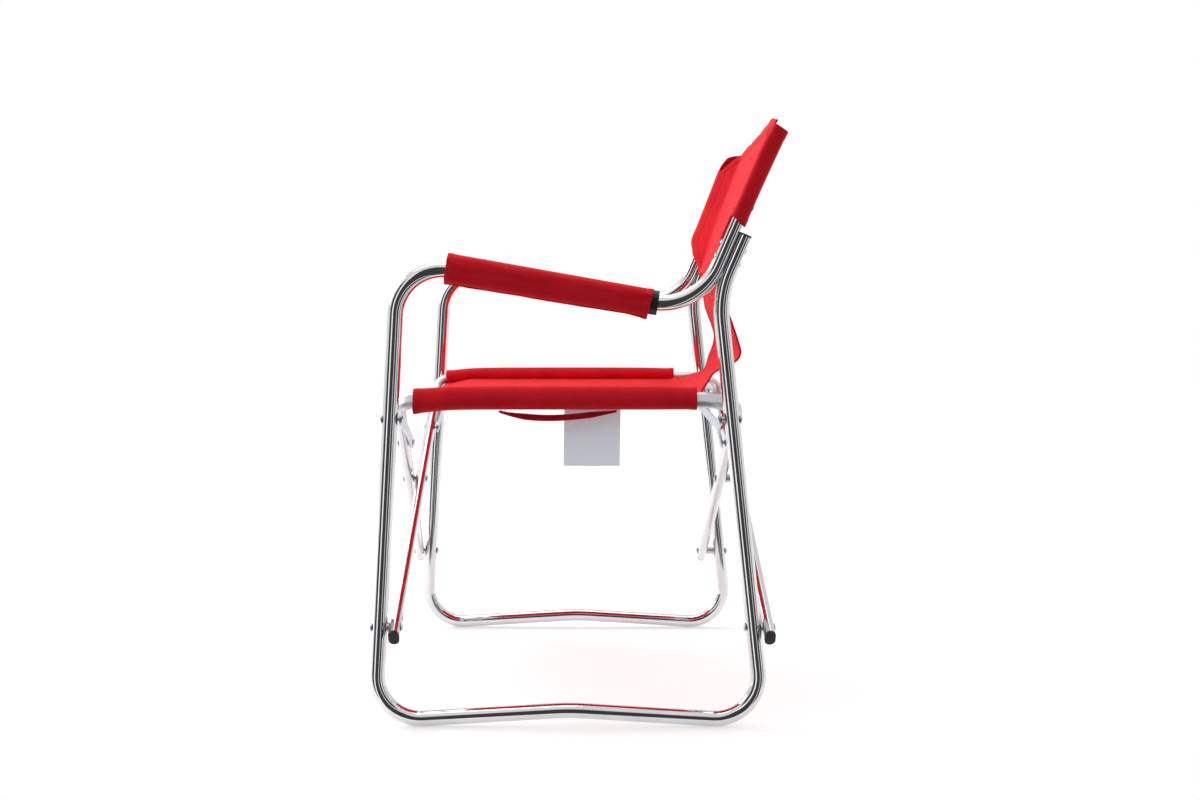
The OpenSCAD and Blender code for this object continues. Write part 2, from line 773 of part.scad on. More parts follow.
module rounded_box(half_x, half_y, r) {
    square([2 * half_x, 2 * (half_y - r)], center = true);
    square([2 * (half_x - r), 2 * half_y], center = true);
    for (a = [-1, 1], b = [-1, 1]) translate([a * (half_x - r), b * (half_y - r)]) circle(r = r);
}

// Lower back sheet: hangs from the hem, bows to the rear and meets the back of the seat
module lower_back() {
    skin = [0.8, 0.4];
    below_hem = 1;
    hem = [post_y(hem_h) + back_sheet_n * cos(back_lean) - below_hem * sin(back_lean),
        hem_h - back_sheet_n * sin(back_lean) - below_hem * cos(back_lean)];
    seat_y = seat_front_y + seat_len + skin.x + slack;
    steps = 18;
    line = [for (i = [0 : steps]) let (t = i / steps) [
        hem.x + (seat_y - hem.x) * t * t + low_sheet_bow * sin(180 * pow(t, 1.5)),
        hem.y + (panel_top - hem.y) * t]];
    inner = [for (i = [0 : steps]) line[i] + skin];
    outer = [for (i = [steps : -1 : 0]) line[i] - skin];
    color(red_cloth) translate([-low_sheet_w / 2, -origin_y, -slack]) rotate([90, 0, 90])
        linear_extrude(low_sheet_w) polygon(concat(inner, outer));
}

// Carry strap: a webbing loop sewn under the left edge of the seat
strap_x = rail_x - 12;
strap_top = rail_h - sleeve_peak - 0.5;

module carry_strap() {
    steps = 14;
    under = [for (i = [0 : steps]) let (t = i / steps)
        [strap_start + strap_span * t, strap_top - strap_thick - strap_dip * sin(180 * pow(t, 0.8))]];
    over = [for (i = [steps : -1 : 0]) under[i] + [0, strap_thick]];
    color(dark_red) translate([strap_x - strap_w / 2, seat_front_y - origin_y, 0])
        rotate([90, 0, 90]) linear_extrude(strap_w) polygon(concat(under, over));
}

module hang_tag() {
    tag_thick = 0.8;
    color("white") translate([strap_x + strap_w / 2 + 2, seat_front_y + tag_start - origin_y,
        strap_top - tag_h]) cube([tag_thick, tag_w, tag_h]);
}

// Screws through the rear of the back sleeves into the posts
module back_screw_place(side) {
    translate([side * half_gap, post_y(back_screw_h) - origin_y, back_screw_h])
        rotate([-90 - back_lean, 0, 0]) children();
}

module back_screws(side) {
    inside = tube_r - screw_depth;
    color(plated) back_screw_place(side) {
        translate([0, 0, inside]) cylinder(h = back_half_t - inside + slack, r = screw_r);
        translate([0, 0, back_half_t + slack]) scale(small_head) rivet_head();
    }
}

side_tube(1);  // left_side_tube
leg_cap(1);  // left_leg_cap
post_cap(1);  // left_post_cap
post_rivets(1);  // left_post_rivets
arm_core(1);  // left_arm_core
arm_cover(1);  // left_arm_cover
arm_screws(1);  // left_arm_screws
link_pins(1);  // left_link_pins
foot_bolts(1);  // left_foot_bolts
foot_spacers(1);  // left_foot_spacers
link(1);  // left_link
leg_frame(1);  // left_leg_frame
leg_plugs(1);  // left_leg_plugs
link_studs(1);  // left_link_studs
seat_sleeve(1);  // left_seat_sleeve
back_screws(1);  // left_back_screws
side_tube(-1);  // right_side_tube
leg_cap(-1);  // right_leg_cap
post_cap(-1);  // right_post_cap
post_rivets(-1);  // right_post_rivets
arm_core(-1);  // right_arm_core
arm_cover(-1);  // right_arm_cover
arm_screws(-1);  // right_arm_screws
link_pins(-1);  // right_link_pins
foot_bolts(-1);  // right_foot_bolts
foot_spacers(-1);  // right_foot_spacers
link(-1);  // right_link
leg_frame(-1);  // right_leg_frame
leg_plugs(-1);  // right_leg_plugs
link_studs(-1);  // right_link_studs
seat_sleeve(-1);  // right_seat_sleeve
back_screws(-1);  // right_back_screws
cross_bolts();
cross_spacers();
seat_panel();
back_panel();
lower_back();
carry_strap();
hang_tag();
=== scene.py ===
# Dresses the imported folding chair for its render: cloth pieces, materials, light and camera
import json
import math

import bpy
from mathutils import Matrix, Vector, noise


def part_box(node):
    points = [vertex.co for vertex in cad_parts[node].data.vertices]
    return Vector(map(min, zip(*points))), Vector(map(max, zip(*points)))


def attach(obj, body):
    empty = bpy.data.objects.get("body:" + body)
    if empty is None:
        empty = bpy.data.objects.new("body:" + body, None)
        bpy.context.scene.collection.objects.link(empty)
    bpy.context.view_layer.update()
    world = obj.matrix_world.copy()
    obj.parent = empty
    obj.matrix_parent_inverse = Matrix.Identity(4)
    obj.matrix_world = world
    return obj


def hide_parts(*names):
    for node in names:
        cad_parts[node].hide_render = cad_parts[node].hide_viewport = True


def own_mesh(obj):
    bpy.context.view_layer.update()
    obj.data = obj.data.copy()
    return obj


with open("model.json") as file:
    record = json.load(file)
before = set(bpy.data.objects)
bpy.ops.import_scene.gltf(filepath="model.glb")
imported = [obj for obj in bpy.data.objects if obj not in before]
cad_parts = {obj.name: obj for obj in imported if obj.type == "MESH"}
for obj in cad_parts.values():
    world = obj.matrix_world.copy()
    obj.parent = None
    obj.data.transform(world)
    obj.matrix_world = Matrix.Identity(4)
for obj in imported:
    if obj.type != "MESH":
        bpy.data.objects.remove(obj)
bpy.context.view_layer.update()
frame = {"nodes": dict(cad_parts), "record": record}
nodes = frame["nodes"]

# Sizes shared with the frame, in metres. Y values below are given before SHIFT moves them to the
# frame's origin
SHIFT = 0.00421
# Each post stands HALF_GAP to its side, and its line meets the floor at POST_Y
HALF_GAP = 0.278
POST_Y = -0.06305
BACK_LEAN = math.radians(23.2)
ARM_SLOPE = math.radians(9)
LEG_ANGLE = math.radians(29.4868)
RAIL_X = 0.235549
RAIL_Z = 0.420395
SEAT_FRONT = -0.2012
SEAT_REAR = 0.1678
# The seat's far end lies this much further forward than its near end
FAR_SEAT_SHIFT = 0.0078

# Thickness of the cloth, the webbing and the tag, and how much thicker a hem is, as a share
CLOTH = 0.0012
WEBBING_THICK = 0.0016
TAG_THICK = 0.0005
HEM = 0.9

# Flat width and length given for each cloth piece, fitted to its finished mesh
NEAR_FLAT = (0.089, 0.122)
FAR_FLAT = (0.074, 0.142)
BACK_FLAT = (0.576, 0.201)
LOWER_FLAT = (0.440, 0.212)
COVER_FLAT = (0.082, 0.370)
SEAT_FLAT = (0.456, 0.370)
ARM_FLAT = (0.114, 0.268)
STRAP_FLAT = (0.020, 0.170)
TAG_FLAT = (0.075, 0.076)


# Numbers along a curve

def smoothstep(low, high, value):
    t = min(max((value - low) / (high - low), 0), 1)
    return t * t * (3 - 2 * t)


def spline(rows, t):
    """Smooth values along rows of (t, value, ...), through every row."""
    last = len(rows) - 1
    i = 0
    while i < last - 1 and t > rows[i + 1][0]:
        i += 1
    before = rows[max(i - 1, 0)]
    here = rows[i]
    after = rows[i + 1]
    beyond = rows[min(i + 2, last)]
    span = after[0] - here[0]
    k = min(max((t - here[0]) / span, 0), 1)
    values = []
    for j in range(1, len(here)):
        slope_a = (after[j] - before[j]) / (after[0] - before[0]) * span
        slope_b = (beyond[j] - here[j]) / (beyond[0] - here[0]) * span
        a = 2 * k ** 3 - 3 * k ** 2 + 1
        b = k ** 3 - 2 * k ** 2 + k
        c = 3 * k ** 2 - 2 * k ** 3
        d = k ** 3 - k ** 2
        values.append(a * here[j] + b * slope_a + c * after[j] + d * slope_b)
    return values


def by_length(points):
    """Rows of (share of the whole length, y, z) along points."""
    travelled = [0.0]
    for p, q in zip(points, points[1:]):
        travelled.append(travelled[-1] + math.dist(p, q))
    return [(t / travelled[-1], y, z) for t, (y, z) in zip(travelled, points)]


def squared(value, power):
    """A sine or cosine pushed out, so that a circle drawn with it becomes a soft box."""
    return math.copysign(abs(value) ** power, value)


def ripple(x, y, z, seed):
    """Smooth noise from -1 to 1. Each seed gives another pattern."""
    return noise.noise(Vector((x + seed, y + 0.37 * seed, z)))


# Mesh making

class Cloth:
    """Collects skins (kind 0) and stitches (kind 1), then becomes one mesh object."""

    def __init__(self):
        self.verts = []
        self.faces = []
        self.uvs = []
        self.kinds = []

    def add(self, verts, faces, uvs, kind):
        base = len(self.verts)
        self.verts.extend(tuple(v) for v in verts)
        self.uvs.extend(uvs)
        for face in faces:
            self.faces.append(tuple(base + k for k in face))
            self.kinds.append(kind)

    def build(self, name, materials):
        mesh = bpy.data.meshes.new(name)
        mesh.from_pydata(self.verts, [], self.faces)
        layer = mesh.uv_layers.new(name="weave")
        for loop in mesh.loops:
            layer.data[loop.index].uv = self.uvs[loop.vertex_index]
        for poly, kind in zip(mesh.polygons, self.kinds):
            poly.use_smooth = True
            poly.material_index = kind
        for material in materials:
            mesh.materials.append(material)
        obj = bpy.data.objects.new(name, mesh)
        bpy.context.scene.collection.objects.link(obj)
        return obj


def frame_at(place, a, b):
    """A surface point and its outward way."""
    step = 1e-4
    along_a = place(min(a + step, 1), b) - place(max(a - step, 0), b)
    along_b = place(a, min(b + step, 1)) - place(a, max(b - step, 0))
    out = along_a.cross(along_b)
    out.normalize()
    return place(a, b), out


def add_sheet(cloth, place, count_a, count_b, size, thick=CLOTH, closed=False, hem=None):
    """Both skins of a sheet and its cut edges.

    place(a, b) is its middle, size is what the weave measures over it, hem(a, b) thickens it.
    """
    per_row = count_b + 1
    rows = count_a if closed else count_a + 1
    verts = []
    uvs = []
    middle = []
    for i in range(rows):
        for j in range(per_row):
            a = i / count_a
            b = j / count_b
            middle.append((a, b) + frame_at(place, a, b))
    for side in (1, -1):
        for a, b, point, out in middle:
            half = thick / 2 * (hem(a, b) if hem else 1)
            verts.append(point + out * side * half)
            uvs.append((a * size[0], b * size[1]))
    base = rows * per_row
    faces = []
    for i in range(count_a):
        k = (i + 1) % rows
        for j in range(count_b):
            here = i * per_row + j
            ahead = k * per_row + j
            quad = (here, ahead, ahead + 1, here + 1)
            faces.append(quad)
            faces.append(tuple(base + v for v in reversed(quad)))
        for j, kept in ((0, True), (count_b, False)):
            here = i * per_row + j
            ahead = k * per_row + j
            edge = (here, here + base, ahead + base, ahead)
            faces.append(edge if kept else tuple(reversed(edge)))
    if not closed:
        for j in range(count_b):
            for i, kept in ((0, True), (count_a, False)):
                here = i * per_row + j
                edge = (here, here + 1, here + 1 + base, here + base)
                faces.append(edge if kept else tuple(reversed(edge)))
    cloth.add(verts, faces, uvs, 0)


# Length, spacing and half the thickness of a stitch, and how far it lies from the cloth's middle
STITCH_LEN = 0.0028
STITCH_PITCH = 0.0042
STITCH_HALF = 0.00038
STITCH_LIFT = CLOTH * 0.62
WEBBING_LIFT = 0.0009


def add_stitches(cloth, place, route, side, lift, samples):
    """Sewing stitches over a surface. route(t) gives (a, b), side is the skin that they lie on."""
    points = []
    for i in range(samples + 1):
        a, b = route(i / samples)
        point, out = frame_at(place, a, b)
        points.append((point + out * side * lift, out * side))
    travelled = 0.0
    start = 0.0
    first = None
    for (p, out), (q, _) in zip(points, points[1:]):
        step = (q - p).length
        if first is None and travelled + step > start:
            first = p
        travelled += step
        if first is not None and travelled > start + STITCH_LEN:
            add_stitch(cloth, first, q, out)
            start += STITCH_PITCH
            first = None


def add_stitch(cloth, p, q, out):
    way = q - p
    across = way.cross(out).normalized() * STITCH_HALF
    up = out.normalized() * STITCH_HALF
    verts = [p - up]
    for share in (0.2, 0.8):
        centre = p + way * share
        for turn in ((1, 0), (0, 1), (-1, 0), (0, -1)):
            verts.append(centre + across * turn[0] + up * turn[1])
    verts.append(q - up)
    faces = []
    for k in range(4):
        n = (k + 1) % 4
        faces.append((0, 1 + n, 1 + k))
        faces.append((1 + k, 1 + n, 5 + n, 5 + k))
        faces.append((9, 5 + k, 5 + n))
    cloth.add(verts, faces, [(0.0, 0.0)] * len(verts), 1)


def sew_across(cloth, place, rows, side, samples=400):
    """A row of stitches from side to side at each b in rows."""
    for b in rows:
        add_stitches(cloth, place, lambda t: (t, b), side, STITCH_LIFT, samples)


def sew_along(cloth, place, columns, side, samples=400, lift=STITCH_LIFT):
    """A row of stitches from end to end at each a in columns."""
    for a in columns:
        add_stitches(cloth, place, lambda t: (a, t), side, lift, samples)


# Materials

def new_material(name):
    material = bpy.data.materials.new(name)
    material.use_nodes = True
    tree = material.node_tree
    tree.nodes.clear()
    output = tree.nodes.new("ShaderNodeOutputMaterial")
    shader = tree.nodes.new("ShaderNodeBsdfPrincipled")
    tree.links.new(shader.outputs[0], output.inputs[0])
    return material, tree, shader


def shader_of(material):
    return next(n for n in material.node_tree.nodes if n.type == "BSDF_PRINCIPLED")


def ramp(tree, source, stops):
    node = tree.nodes.new("ShaderNodeValToRGB")
    elements = node.color_ramp.elements
    elements[0].position = stops[0][0]
    elements[0].color = stops[0][1]
    elements[1].position = stops[-1][0]
    elements[1].color = stops[-1][1]
    for position, colour in stops[1:-1]:
        element = elements.new(position)
        element.color = colour
    tree.links.new(source, node.inputs[0])
    return node.outputs[0]


def noise_of(tree, source, scale, detail=3.0):
    node = tree.nodes.new("ShaderNodeTexNoise")
    node.inputs["Scale"].default_value = scale
    node.inputs["Detail"].default_value = detail
    tree.links.new(source, node.inputs["Vector"])
    return node.outputs[0]


def maths(tree, operation, first, second=None, third=None):
    node = tree.nodes.new("ShaderNodeMath")
    node.operation = operation
    for slot, value in zip(node.inputs, (first, second, third)):
        if value is None:
            continue
        if isinstance(value, (int, float)):
            slot.default_value = value
        else:
            tree.links.new(value, slot)
    return node.outputs[0]


def bump(tree, shader, height, strength, distance):
    node = tree.nodes.new("ShaderNodeBump")
    node.inputs["Strength"].default_value = strength
    node.inputs["Distance"].default_value = distance
    tree.links.new(height, node.inputs["Height"])
    tree.links.new(node.outputs[0], shader.inputs["Normal"])


def gray(value):
    return (value, value, value, 1)


def metal(name, colour, rough, spread, grain, drawn=(1, 1, 1), bumpy=0.02):
    """A metal with drawn grain, a faint cloudy tint and small changes of gloss."""
    material, tree, shader = new_material(name)
    shader.inputs["Metallic"].default_value = 1.0
    place = tree.nodes.new("ShaderNodeTexCoord").outputs["Object"]
    mapping = tree.nodes.new("ShaderNodeMapping")
    mapping.inputs["Scale"].default_value = drawn
    tree.links.new(place, mapping.inputs[0])
    fine = noise_of(tree, mapping.outputs[0], grain)
    wide = noise_of(tree, place, 14.0, 4.0)
    low = tuple(c * 0.9 for c in colour)
    tint = ramp(tree, wide, [(0.35, (*low, 1)), (0.65, (*colour, 1))])
    tree.links.new(tint, shader.inputs["Base Color"])
    mixed = maths(tree, "MULTIPLY_ADD", wide, 0.5, maths(tree, "MULTIPLY", fine, 0.5))
    gloss = ramp(tree, mixed, [(0.35, gray(rough)), (0.65, gray(rough + spread))])
    tree.links.new(gloss, shader.inputs["Roughness"])
    bump(tree, shader, fine, bumpy, 0.0006)
    return material


# Heights between which the legs turn from polished to satin, and how much rougher they get
SATIN_START = 0.372
SATIN_FULL = 0.395
SATIN_ROUGHER = 0.24


def leg_metal():
    """Polished legs whose bends at the seat rails are satin."""
    material = metal("leg_tube", (0.66, 0.66, 0.67), 0.13, 0.10, 180.0)
    tree = material.node_tree
    shader = shader_of(material)
    place = tree.nodes.new("ShaderNodeTexCoord").outputs["Object"]
    split = tree.nodes.new("ShaderNodeSeparateXYZ")
    tree.links.new(place, split.inputs[0])
    mask = tree.nodes.new("ShaderNodeMapRange")
    mask.interpolation_type = "SMOOTHSTEP"
    mask.inputs["From Min"].default_value = SATIN_START
    mask.inputs["From Max"].default_value = SATIN_FULL
    tree.links.new(split.outputs[2], mask.inputs["Value"])
    gloss = shader.inputs["Roughness"].links[0].from_socket
    rough = maths(tree, "MULTIPLY_ADD", mask.outputs[0], SATIN_ROUGHER, gloss)
    tree.links.new(rough, shader.inputs["Roughness"])
    return material


def fabric(name, dark, light, thread, rough=0.8, bumpy=0.3):
    """A woven cloth: two crossing sets of threads, one every thread metres, and a cloudy tint."""
    material, tree, shader = new_material(name)
    coord = tree.nodes.new("ShaderNodeTexCoord")
    waves = []
    for direction in ("X", "Y"):
        node = tree.nodes.new("ShaderNodeTexWave")
        node.bands_direction = direction
        # Blender's bands lie pi / (10 * scale) apart
        node.inputs["Scale"].default_value = math.pi / (10 * thread)
        node.inputs["Distortion"].default_value = 0.5
        node.inputs["Detail"].default_value = 1.0
        tree.links.new(coord.outputs["UV"], node.inputs["Vector"])
        waves.append(node.outputs["Fac"])
    cross = maths(tree, "MULTIPLY", waves[0], waves[1])
    cloud = noise_of(tree, coord.outputs["Object"], 26.0, 5.0)
    height = maths(tree, "MULTIPLY_ADD", cloud, 0.6, maths(tree, "MULTIPLY", cross, 0.5))
    tint = ramp(tree, height, [(0.15, (*dark, 1)), (0.75, (*light, 1))])
    tree.links.new(tint, shader.inputs["Base Color"])
    shader.inputs["Roughness"].default_value = rough
    shader.inputs["Specular IOR Level"].default_value = 0.14
    shader.inputs["Sheen Weight"].default_value = 0.04
    shader.inputs["Sheen Roughness"].default_value = 0.5
    shader.inputs["Sheen Tint"].default_value = (1.0, 0.45, 0.45, 1)
    bump(tree, shader, cross, bumpy, 0.0003)
    return material


def plastic(name, colour, rough, grain=900.0, darkest=0.75):
    """A fine-grained surface whose tint and gloss change a little with the grain."""
    material, tree, shader = new_material(name)
    place = tree.nodes.new("ShaderNodeTexCoord").outputs["Object"]
    fine = noise_of(tree, place, grain)
    low = tuple(c * darkest for c in colour)
    tint = ramp(tree, fine, [(0.3, (*low, 1)), (0.7, (*colour, 1))])
    tree.links.new(tint, shader.inputs["Base Color"])
    gloss = ramp(tree, fine, [(0.3, gray(rough - 0.05)), (0.7, gray(rough + 0.05))])
    tree.links.new(gloss, shader.inputs["Roughness"])
    bump(tree, shader, fine, 0.12, 0.0003)
    return material


POLISHED = metal("polished_tube", (0.74, 0.74, 0.76), 0.05, 0.06, 240.0, (1, 0.3, 0.08), 0.012)
LEG_METAL = leg_metal()
PLATED = metal("plated_steel", (0.56, 0.60, 0.66), 0.22, 0.14, 320.0)
SATIN = metal("satin_aluminium", (0.62, 0.62, 0.62), 0.34, 0.10, 400.0)
BLACK = plastic("black_plastic", (0.009, 0.009, 0.010), 0.4)
RED = fabric("red_fabric", (0.56, 0.004, 0.012), (0.80, 0.014, 0.027), 0.0008)
WEBBING = fabric("red_webbing", (0.38, 0.004, 0.012), (0.56, 0.008, 0.020), 0.0016, 0.7, 0.6)
THREAD = plastic("red_thread", (0.26, 0.006, 0.012), 0.55, 1500.0)
LABEL = plastic("white_label", (0.88, 0.91, 0.98), 0.5, 60.0, 0.95)
# Painted light: the tag glows a little, standing in for daylight shining through the thin tag from
# behind
TAG_PAINTED_GLOW = 0.17
label_shader = shader_of(LABEL)
label_shader.inputs["Emission Color"].default_value = (0.85, 0.90, 1.0, 1)
label_shader.inputs["Emission Strength"].default_value = TAG_PAINTED_GLOW

SLOT_MATERIAL = {
    "polished_tube": POLISHED, "plated_steel": PLATED, "satin_aluminium": SATIN,
    "black_plastic": BLACK, "red_fabric": RED, "red_webbing": WEBBING, "white_label": LABEL}


def paint(obj, material):
    obj.data.materials.clear()
    obj.data.materials.append(material)


for part in frame["record"]["subparts"]:
    chosen = SLOT_MATERIAL[part["material_slot"]]
    if part["node"].endswith("leg_frame"):
        chosen = LEG_METAL
    paint(nodes[part["node"]], chosen)


def dress(obj, body, slot, flat, held, rests_on, *replaced):
    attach(obj, body)
    if replaced:
        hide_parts(*replaced)
    return obj


def side_name(side):
    return "left" if side > 0 else "right"


# Back cloth: a sleeve round each post, and the sheet between them

def back_point(x, behind, up_post):
    """x across, behind the post line, and the height where that line is crossed."""
    y = POST_Y - SHIFT + up_post * math.tan(BACK_LEAN)
    return Vector((x, y + behind * math.cos(BACK_LEAN), up_post - behind * math.sin(BACK_LEAN)))


# The near sleeve's front and rear faces behind the post line, by the height on the post
NEAR_FACES = [(0.640, -0.0100, 0.0104), (0.700, -0.0102, 0.0110), (0.746, -0.0096, 0.0121),
              (0.770, -0.0062, 0.0130)]
NEAR_TOP = 0.7675
NEAR_BOTTOM = 0.6498
NEAR_HALF_W = 0.0142
SLEEVE_SEAMS = (0.922, 0.078)


def sleeve_hem(a, b):
    """Thickness of a back sleeve in layers, more in the hems at its two ends."""
    return 1 + HEM * (smoothstep(0.925, 0.935, b) + 1 - smoothstep(0.065, 0.075, b))


def near_sleeve():
    def place(a, b):
        angle = 2 * math.pi * a
        c = math.cos(angle)
        s = math.sin(angle)
        across = squared(c, 0.55) * NEAR_HALF_W
        deep = squared(s, 0.62)
        # Both ends lie lower at the rear
        low = NEAR_BOTTOM - 0.0025 * deep
        high = NEAR_TOP - 0.0018 * (deep + 0.3)
        up = low + (high - low) * b
        front, rear = spline(NEAR_FACES, up)
        behind = (front + rear) / 2 + deep * (rear - front) / 2
        # The sides are uneven, and drawn in towards the top
        swell = 0.0007 * ripple(across * 60, behind * 60, up * 28, 3)
        pull = 1 - 0.10 * smoothstep(0.75, 1.0, b)
        return back_point(HALF_GAP + across * pull + swell, behind, up)

    cloth = Cloth()
    add_sheet(cloth, place, 84, 64, (0.082, 0.120), closed=True, hem=sleeve_hem)
    sew_across(cloth, place, SLEEVE_SEAMS, 1)
    obj = cloth.build("left_back_sleeve", (RED, THREAD))
    return dress(obj, "left_side", "red_fabric", NEAR_FLAT, "stretched", ("left_side_tube",))


# The far sleeve from its seam round the rear of the post to its front fold:
# [share, out from the post, behind the post line, top, bottom]
FAR_LINE = [(0.00, -0.0185, 0.0040, 0.7850, 0.6400), (0.14, -0.0095, 0.0108, 0.7865, 0.6420),
            (0.28, 0.0030, 0.0113, 0.7870, 0.6430), (0.42, 0.0122, 0.0085, 0.7865, 0.6435),
            (0.55, 0.0146, 0.0000, 0.7850, 0.6440), (0.72, 0.0138, -0.0100, 0.7805, 0.6440),
            (0.86, 0.0118, -0.0185, 0.7740, 0.6435), (0.94, 0.0102, -0.0225, 0.7645, 0.6430),
            (1.00, 0.0090, -0.0242, 0.7540, 0.6430)]


def far_sleeve():
    def place(a, b):
        out, behind, high, low = spline(FAR_LINE, a)
        up = low + (high - low) * b
        # The front fold lies closer to the post lower down
        behind *= 1 - 0.15 * smoothstep(0.75, 0.66, up) * smoothstep(0.55, 1.0, a)
        swell = 0.0006 * ripple(out * 60, behind * 60, up * 28, -3)
        return back_point(-HALF_GAP - out + swell, behind, up)

    cloth = Cloth()
    add_sheet(cloth, place, 70, 64, (0.068, 0.140), hem=sleeve_hem)
    sew_across(cloth, place, SLEEVE_SEAMS, -1)
    obj = cloth.build("right_back_sleeve", (RED, THREAD))
    return dress(obj, "right_side", "red_fabric", FAR_FLAT, "stretched", ("right_side_tube",))


# How far each side border of the back sheet lies out, at most and by the height on the posts
NEAR_REACH = 0.2680
FAR_REACH = 0.2868
NEAR_BORDER = [(0.586, 0.2255), (0.601, 0.2300), (0.608, 0.2340), (0.613, 0.2390), (0.617, 0.2480),
               (0.623, 0.2560), (0.630, 0.2620), (0.644, 0.2672), (0.660, NEAR_REACH),
               (0.800, NEAR_REACH)]
FAR_BORDER = [(0.586, 0.2260), (0.595, 0.2300), (0.602, 0.2360), (0.607, 0.2440), (0.611, 0.2520),
              (0.618, 0.2620), (0.626, 0.2700), (0.633, 0.2790), (0.643, 0.2858), (0.660, FAR_REACH),
              (0.800, FAR_REACH)]
# The far part turns forward to the fold of its sleeve: [height, where it starts, how steep it is]
FAR_TURN = [(0.590, 0.224, 0.90), (0.602, 0.230, 0.90), (0.611, 0.238, 0.93), (0.618, 0.242, 0.93),
            (0.626, 0.246, 0.92), (0.633, 0.249, 0.87), (0.643, 0.252, 0.81), (0.660, 0.254, 0.80),
            (0.700, 0.258, 0.88), (0.755, 0.259, 0.92), (0.800, 0.259, 0.90)]
# How far the near border stands forward of the sheet, by the height
NEAR_LIP = [(0.590, 0.0), (0.608, 0.0010), (0.617, 0.0045), (0.630, 0.0058), (0.644, 0.0050),
            (0.690, 0.0025), (0.740, 0.0), (0.800, 0.0)]
# The sheet's top edge by the distance across, from the far fold to the near corner
SHEET_TOP = [(-0.2870, 0.7490), (-0.2810, 0.7525), (-0.2765, 0.7610), (-0.2710, 0.7685),
             (-0.2650, 0.7775), (-0.2580, 0.7858), (-0.2300, 0.7877), (-0.1100, 0.7888),
             (0.0500, 0.7877), (0.1700, 0.7844), (0.2300, 0.7806), (NEAR_REACH, 0.7764)]
# The sheet's middle: [height, how far behind the post line, how much it tilts]
SHEET_LEVEL = [(0.58, 0.0045, 0.0062), (0.60, 0.0040, 0.0060), (0.65, 0.0005, 0.0050),
               (0.72, -0.0030, 0.0048), (0.80, -0.0050, 0.0042)]
SHEET_HALF_W = 0.266


def sheet_behind(x, up):
    """How far the back sheet lies behind the post line."""
    level, tilt = spline(SHEET_LEVEL, up)
    across = x / SHEET_HALF_W
    inner = max(1 - across * across, 0)
    start, steep = spline(FAR_TURN, up)
    past = max(-x - start, 0)
    turn = steep * past * smoothstep(0.0, 0.006, past)
    lip = spline(NEAR_LIP, up)[0] * smoothstep(0.228, 0.252, x)
    soft = 0.0011 * ripple(across * 3.5, 0, up * 16, 8) + 0.0005 * ripple(across * 11, 0, up * 30, 2)
    corner = 0.0048 * smoothstep(0.758, 0.778, up) * smoothstep(0.225, 0.262, x)
    return level - tilt * across + 0.0035 * inner + soft * min(inner * 4, 1) - turn - lip + corner


def back_sheet():
    def place(a, b):
        # The lower edge rises most in its far half
        low = 0.5925 + 0.0060 * (1 - a) * a * 4 * (1 - a)
        widest = -FAR_REACH + (FAR_REACH + NEAR_REACH) * a
        high = spline(SHEET_TOP, widest)[0]
        up = low + (high - low) * b
        near = spline(NEAR_BORDER, up)[0]
        far = spline(FAR_BORDER, up)[0]
        x = -far + (far + near) * a
        return back_point(x, sheet_behind(x, up), up)

    def hem(a, b):
        edge = smoothstep(0.945, 0.952, b) + 1 - smoothstep(0.050, 0.058, b)
        side = 1 - smoothstep(0.012, 0.016, min(a, 1 - a))
        return 1 + HEM * min(edge + side, 1)

    cloth = Cloth()
    add_sheet(cloth, place, 150, 100, (0.552, 0.190), hem=hem)
    for side in (1, -1):
        sew_across(cloth, place, (0.936, 0.062), side, 900)
        sew_along(cloth, place, (0.022, 0.978), side)
    obj = cloth.build("back_sheet", (RED, THREAD))
    return dress(obj, "left_side", "red_fabric", BACK_FLAT, "stretched",
                 ("left_side_tube", "right_side_tube"), "back_panel")


# Lower sheet: hangs from the hem, swings out to the rear and ends on the rear edge of the seat.
# Its two side edges as (y, z), from the hem down
LOWER_NEAR = by_length([
    (0.1885, 0.5945), (0.2050, 0.5450), (0.2125, 0.5270), (0.2260, 0.4850), (0.2258, 0.4790),
    (0.2230, 0.4730), (0.2170, 0.4680), (0.2010, 0.4605), (0.1920, 0.4550), (0.1870, 0.4490),
    (0.1820, 0.4410), (0.1780, 0.4350), (0.1700, 0.4240), (0.1630, 0.4214)])
LOWER_FAR = by_length([
    (0.2030, 0.5940), (0.2080, 0.5510), (0.2100, 0.5380), (0.2150, 0.5230), (0.2210, 0.5080),
    (0.2250, 0.4930), (0.2240, 0.4800), (0.2200, 0.4680), (0.2160, 0.4580), (0.2130, 0.4470),
    (0.2100, 0.4390), (0.2040, 0.4340), (0.1940, 0.4300), (0.1830, 0.4270), (0.1700, 0.4240),
    (0.1600, 0.4222), (0.1550, 0.4214)])
# Half its width, by the share of the way down
LOWER_WIDTH = [(0.00, 0.2250), (0.25, 0.2195), (0.48, 0.2150), (0.62, 0.2135), (0.78, 0.2150),
               (0.92, 0.2200), (1.00, 0.2235)]
SEAT_SAG = 0.0062


def seat_drop(across):
    """How far the seat sags, from -1 at the far rail to 1 at the near one."""
    return SEAT_SAG * (1 - across * across)


